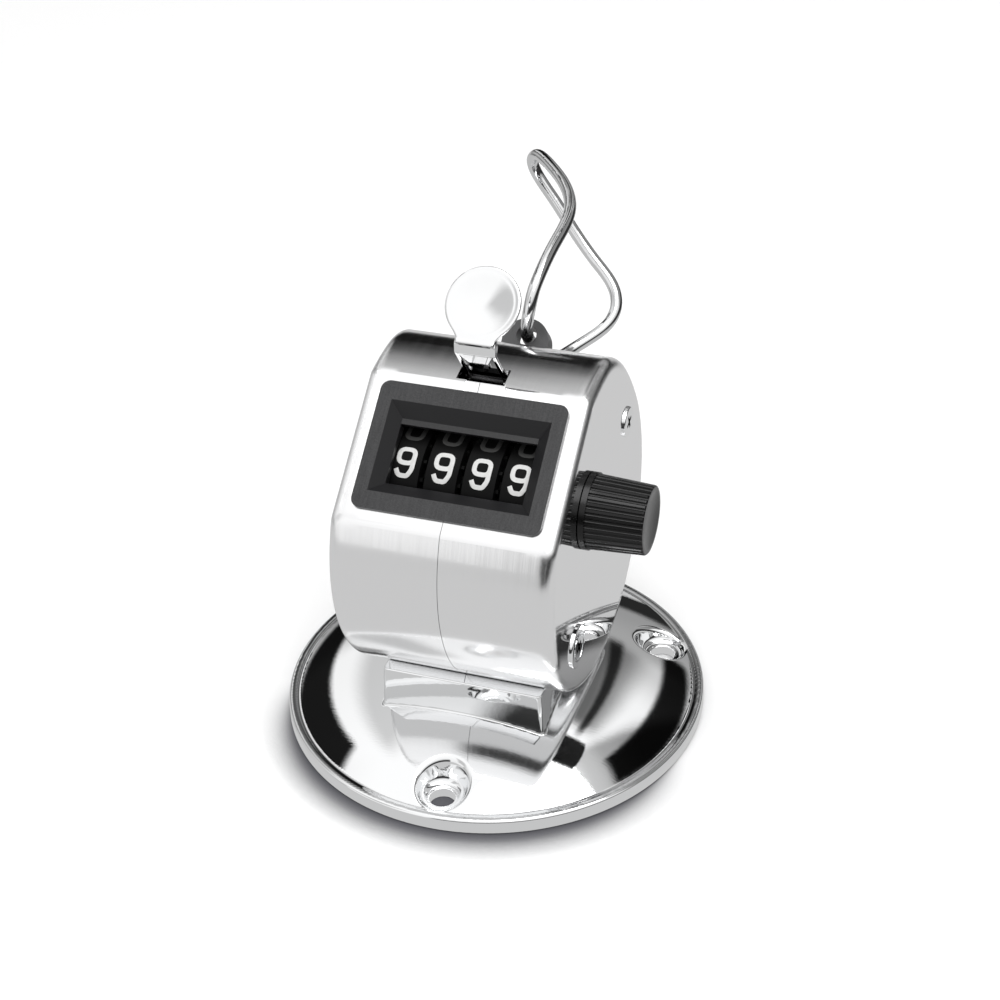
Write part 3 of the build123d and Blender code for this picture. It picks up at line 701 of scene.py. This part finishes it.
def slab(y, z, a, b, thick):
    """Place along a-b, and distance to a strip that starts on a-b and lies to its left."""
    dy, dz = b[0] - a[0], b[1] - a[1]
    length = math.hypot(dy, dz)
    dy, dz = dy / length, dz / length
    s = (y - a[0]) * dy + (z - a[1]) * dz
    n = -(y - a[0]) * dz + (z - a[1]) * dy
    half = length / 2
    return s, box(np.abs(s - half) - half, np.abs(n - thick / 2) - thick / 2)


def polygon(y, z, points):
    """Distance to the outline, negative inside."""
    nearest = np.full(y.shape, 1e9)
    sign = np.ones(y.shape)
    for i, a in enumerate(points):
        b = points[i - 1]
        edge_y, edge_z = b[0] - a[0], b[1] - a[1]
        dy, dz = y - a[0], z - a[1]
        length2 = edge_y * edge_y + edge_z * edge_z
        t = np.clip((dy * edge_y + dz * edge_z) / length2, 0, 1)
        off_y, off_z = dy - edge_y * t, dz - edge_z * t
        nearest = np.minimum(nearest, off_y * off_y + off_z * off_z)
        above, below, left = z >= a[1], z < b[1], edge_y * dz > edge_z * dy
        flip = (above & below & left) | (~above & ~below & ~left)
        sign = np.where(flip, -sign, sign)
    return sign * np.sqrt(nearest)


def pad_solid(x, y, z):
    """Round pad and its neck, pressed into a dish with a narrow raised rim."""
    up_slope = (y - PAD_Y) * SIN45 + (z - PAD_Z) * SIN45
    height = -(y - PAD_Y) * SIN45 + (z - PAD_Z) * SIN45
    r = np.hypot(x, up_slope)
    neck = box(np.abs(x) - STRAP_HALF_W, np.abs(up_slope - NECK_MID) - NECK_HALF)
    outline = smin(r - PAD_R, neck, blend=1.5)
    outline = smax(outline, -(up_slope - NECK_END), blend=0.2)
    t = np.clip(r / DISH_R, 0, 1)
    dish = -DISH_DEPTH * (1 - t * t) ** 1.4
    lip = LIP_HEIGHT * np.exp(-((r - LIP_R) / LIP_WIDTH) ** 2)
    lip = lip * np.clip((up_slope - NECK_MID) / 2.0, 0, 1)
    # 0.97 keeps the curved faces close to true distances
    top = (height - dish - lip) * 0.97
    bottom = -(height - dish + SHEET) * 0.97
    return smax(smax(outline, top, blend=0.22), bottom, blend=0.22)


def cheek_solid(x, y, z):
    """Two side cheeks down to the pivot."""
    from_pivot = np.hypot(y - PIVOT[0], z - PIVOT[1])
    cheek = smin(polygon(y, z, CHEEK), from_pivot - HUB_R, blend=0.4)
    cheek = smax(cheek, PIN_R - from_pivot, blend=0.1)
    return smax(cheek, np.abs(np.abs(x) - CHEEK_X) - CHEEK_HALF_T, blend=0.14)


def lever_solid(x, y, z):
    # upright band and tapering lower plate of the bent sheet
    band = slab(y, z, BEND, KNEE, SHEET)[1]
    band = smax(band, np.abs(x) - STRAP_HALF_W, blend=0.18)
    down, plate = slab(y, z, KNEE, STRAP_END, SHEET)
    half_w = STRAP_HALF_W - 0.42 * np.clip(down, 0, 2.6)
    plate = smax(plate, (np.abs(x) - half_w) * 0.92, blend=0.18)
    body = smin(pad_solid(x, y, z), band, blend=0.45)
    body = smin(body, plate, blend=0.12)
    return smin(body, cheek_solid(x, y, z), blend=0.16)


implicit_piece(
    "lever_pressing", lever_solid, low=(-6.2, -3.4, 55.3), high=(6.2, 6.4, 76.3), step=0.13,
    material="bright", node="lever", body="lever",
)


# ------------------------------------------------------------ camera
def make_camera():
    """In front of the counter, a little to its right, looking down on it."""
    heading, pitch, roll = math.radians(20.24), math.radians(34.14), math.radians(-2.52)
    view = Vector((
        -math.sin(heading) * math.cos(pitch),
        math.cos(heading) * math.cos(pitch),
        -math.sin(pitch),
    ))
    level = Vector((math.cos(heading), math.sin(heading), 0))
    upright = level.cross(view)
    right = math.cos(roll) * level + math.sin(roll) * upright
    up = -math.sin(roll) * level + math.cos(roll) * upright
    camera = bpy.data.cameras.new("camera")
    camera.lens, camera.sensor_width = 73.78, 36.0
    camera.clip_start, camera.clip_end = 0.01, 20.0
    pose = Matrix((right, up, -view)).transposed().to_4x4()
    pose.translation = (0.0926, -0.2455, 0.2160)
    holder = add_object("camera", camera)
    holder.matrix_world = pose
    scene.camera = holder


make_camera()
scene.view_settings.view_transform = "Standard"


# ------------------------------------------------------------ floor
def make_paper():
    """Pale paper with a painted contact shadow and a faint painted glow; reflections see a
    painted bright patch with darker edges.
    """
    m = Material("floor_paper")
    # painted contact shadow: occlusion darkens the paper, most in front of the base
    shade = m.node("AmbientOcclusion", samples=16)
    shade.inputs["Distance"].default_value = 0.0062
    x, y, _ = m.split(m.coord())
    radius = m.calc("SQRT", m.add(m.calc("POWER", x, 2.0), m.calc("POWER", y, 2.0)))
    # 1 straight in front of the base, where the painted contact shadow is strongest
    frontness = m.calc("DIVIDE", m.mul(y, -1.0), m.calc("MAXIMUM", radius, 0.001))
    depth = m.ramp(frontness, over=(0.18, 0.96), to=(0.30, 9.0))
    painted_contact_shadow = m.calc("POWER", shade.outputs["AO"], depth)
    pale = m.mix(m.noise(scale=3.0), (0.93, 0.93, 0.93), (0.95, 0.95, 0.95))
    tone = m.mix(painted_contact_shadow, (0.10, 0.10, 0.11), pale)
    # the paper also glows faintly with its own colour, painted light that carries the painted
    # shadow
    m.set(color=tone, rough=0.8, spec=0.1, emission=tone, emission_strength=0.09)
    # painted reflection: what the chrome sees is a glow, bright paper near by, darker room past
    # its edge
    glow = m.node("Emission")
    glow.inputs[0].default_value = (1, 1, 1, 1)
    azimuth = m.azimuth(x, y)

    def sector(start):
        return m.mul(m.ramp(azimuth, start), m.ramp(azimuth, over=(66.0, 90.0), to=(1.0, 0.0)))

    front = sector(start=(-104.0, -90.0))
    right = sector(start=(-20.0, 10.0))
    left = m.ramp(m.size(azimuth), over=(140.0, 165.0))
    far_front = m.mul(front, m.ramp(radius, over=(0.20, 0.42)))
    far_right = m.mul(right, m.ramp(radius, over=(0.12, 0.19)))
    far_left = m.mul(left, m.ramp(radius, over=(0.25, 0.60), to=(0.0, 0.75)))
    far = m.calc("MAXIMUM", m.calc("MAXIMUM", far_front, far_right), far_left)
    near_glow, far_drop = 0.60, 0.565
    m.put(glow.inputs[1], m.sub(near_glow, m.mul(far, far_drop)))
    switch = m.node("MixShader")
    m.put(switch.inputs[0], m.node("LightPath").outputs["Is Glossy Ray"])
    m.put(switch.inputs[1], m.shader.outputs[0])
    m.put(switch.inputs[2], glow.outputs[0])
    m.put(m.out.inputs[0], switch.outputs[0])
    return m.data


def make_floor():
    mesh = bpy.data.meshes.new("floor")
    bm = bmesh.new()
    bmesh.ops.create_grid(bm, x_segments=8, y_segments=8, size=2.5)
    bm.to_mesh(mesh)
    bm.free()
    floor = add_object("floor", mesh)
    floor.location.z = -0.00005
    mesh.materials.append(make_paper())


make_floor()

# ------------------------------------------------------------ studio surround
# Pale, with dark panels that only reflections and light see. Angles are in degrees:
# azimuth from +X towards +Y, elevation from the horizon.
world = bpy.data.worlds.new("studio")
scene.world = world
world.use_nodes = True
sky = Nodes(world.node_tree)
sky_x, sky_y, sky_z = sky.split(sky.node("TexCoord").outputs["Generated"])
elevation = sky.mul(sky.calc("ARCSINE", sky_z), DEGREES)
azimuth = sky.azimuth(sky_x, sky_y)


def seam_in_front():
    """Azimuth from -90 to 270."""
    return sky.calc("WRAP", azimuth, 270.0, -90.0)


def elev_band(low, high, soft):
    return sky.mul(
        sky.ramp(elevation, over=(low - soft, low + soft)),
        sky.ramp(elevation, over=(high - soft, high + soft), to=(1.0, 0.0)),
    )


def az_band(start, end, soft):
    """Azimuth band that may cross the -180/180 seam."""
    middle, half = (start + end) / 2, (end - start) / 2
    offset = sky.calc("WRAP", sky.sub(azimuth, middle), 180.0, -180.0)
    return sky.ramp(sky.size(offset), over=(half - soft, half + soft), to=(1.0, 0.0))


def by_elevation(stops):
    """Brightness as a function of elevation, from (degrees, brightness) stops."""
    lowest, span = 30.0, 120.0  # the ramp runs from -30 to 90 degrees
    made = sky.node("ValToRGB")
    sky.put(made.inputs[0], sky.calc("DIVIDE", sky.add(elevation, lowest), span))
    ramp = made.color_ramp
    ramp.interpolation = "EASE"
    while len(ramp.elements) > 1:
        ramp.elements.remove(ramp.elements[-1])
    for i, (degrees, value) in enumerate(stops):
        place = (degrees + lowest) / span
        element = ramp.elements[0] if i == 0 else ramp.elements.new(place)
        element.position = place
        element.color = (value, value, value, 1.0)
    return made.outputs[0]


def blend(factor, a, b):
    """a where the factor is 0, b where it is 1."""
    return sky.add(a, sky.mul(factor, sky.sub(b, a)))


def strip(start, end, pivot, elev, soft, elev_soft):
    """Leaning strip; 'start' and 'end' are (azimuth at the pivot elevation, its gain
    per degree below it), 'elev' is the span of elevation."""
    below = sky.sub(pivot, elevation)
    start_az = sky.add(start[0], sky.mul(below, start[1]))
    end_az = sky.add(end[0], sky.mul(below, end[1]))
    here = seam_in_front()
    past_start = sky.ramp(sky.sub(here, start_az), over=(-soft, soft))
    before_end = sky.ramp(sky.sub(end_az, here), over=(-soft, soft))
    return sky.mul(sky.mul(past_start, before_end), elev_band(*elev, elev_soft))


# brightness by elevation outside the sectors, mainly the front right
FRONT_STOPS = ((-12, 0.40), (-5, 0.05), (12, 0.03), (20, 0.55), (30, 0.92), (60, 1.0))
# azimuth from, to, softness, stops of (elevation, brightness)
SECTORS = [
    (0, 64, 5.0, ((-20, 0.20), (-10, 0.04), (10, 0.03), (18, 0.30), (34, 0.24), (50, 0.24),
                  (60, 0.36), (66, 0.55), (74, 1.0))),
    (64, 100, 4.0, ((-10, 0.20), (-2, 0.30), (0.5, 0.02), (7, 0.02), (10, 0.30), (24, 0.36),
                    (30, 0.60), (45, 0.92), (62, 1.0))),
    (100, 127, 3.0, ((-15, 0.40), (-4, 0.26), (4, 0.04), (9, 0.006), (32, 0.006),
                     (38, 0.10), (45, 0.40), (53, 0.70), (61, 1.0))),
    (127, 166, 3.0, ((0, 0.32), (12, 0.55), (22, 0.90), (60, 1.0))),
    (166, 210, 5.0, ((-10, 0.30), (-4, 0.18), (3, 0.42), (12, 0.58), (30, 0.78),
                     (45, 0.92), (60, 1.0))),
    (210, 256, 3.0, ((-10, 0.60), (0, 0.80), (20, 0.92), (60, 1.0))),
]
light = by_elevation(FRONT_STOPS)
for start, end, soft, stops in SECTORS:
    value = by_elevation(stops)
    light = blend(az_band(start, end, soft), light, value)

# fall-off towards the thin dark line behind the counter
LINE_LEAN = 0.464
line_az = sky.sub
fall = sky.sub(seam_in_front(), sky.sub(87.0, sky.mul(sky.sub(elevation, 28.0), LINE_LEAN)))
fall = sky.mul(sky.ramp(fall, over=(-10.0, -1.5)), elev_band(27.0, 60.0, soft=3.0))
fall_end = sky.ramp(seam_in_front(), over=(98.0, 103.0), to=(1.0, 0.0))
# dark shapes: mask, share of the light taken away
DARK = [
    (sky.mul(fall, fall_end), 0.70),
    (strip((39.5, 0.93), (54.0, 0.70), pivot=60.0, elev=(20.5, 62.0), soft=0.9,
           elev_soft=1.2), 0.99),
    (strip((70.6, LINE_LEAN), (73.8, LINE_LEAN), pivot=60.0, elev=(26.0, 62.0), soft=0.8,
           elev_soft=2.0), 0.93),
    (strip((73.8, LINE_LEAN), (98.0, 0.0), pivot=60.0, elev=(27.0, 60.0), soft=1.5,
           elev_soft=2.0), 0.55),
    (strip((131.6, -0.806), (138.4, -0.98), pivot=12.0, elev=(1.0, 48.5), soft=0.9,
           elev_soft=1.4), 0.99),
    (strip((112.0, 0.0), (124.0, -0.806), pivot=12.0, elev=(13.0, 58.0), soft=3.5,
           elev_soft=4.0), 0.38),
    (sky.mul(az_band(208, 232, soft=6.0), elev_band(20, 55, soft=6.0)), 0.42),
]
for mask, share in DARK:
    light = sky.mul(light, sky.sub(1.0, sky.mul(mask, share)))
# grey strip next to the dark one that starts at azimuth 131.6
grey = strip((139.4, -0.98), (156.0, -0.97), pivot=12.0, elev=(3.0, 47.5), soft=1.2,
             elev_soft=2.5)
light = blend(grey, light, 0.27)
EXPOSURE = 1.08
light = sky.mul(light, EXPOSURE)

studio = sky.node("Background")
sky.put(studio.inputs[1], light)
studio.inputs[0].default_value = (1, 1, 1, 1)
backdrop = sky.node("Background")
backdrop.inputs[0].default_value = (0.93, 0.93, 0.93, 1)
switch = sky.node("MixShader")
sky.put(switch.inputs[0], sky.node("LightPath").outputs["Is Camera Ray"])
sky.put(switch.inputs[1], studio.outputs[0])
sky.put(switch.inputs[2], backdrop.outputs[0])
sky.put(sky.node("OutputWorld").inputs[0], switch.outputs[0])


# ------------------------------------------------------------ lamp
def make_lamp(name, place, aim, size, power):
    lamp = bpy.data.lights.new(name, "AREA")
    lamp.energy, lamp.size = power, size
    holder = add_object(name, lamp)
    holder.location = place
    toward = Vector(aim) - Vector(place)
    holder.rotation_euler = toward.to_track_quat("-Z", "Y").to_euler()


make_lamp("soft_top", place=(0.15, -0.10, 0.75), aim=(0, 0, 0.03), size=0.55, power=3.0)
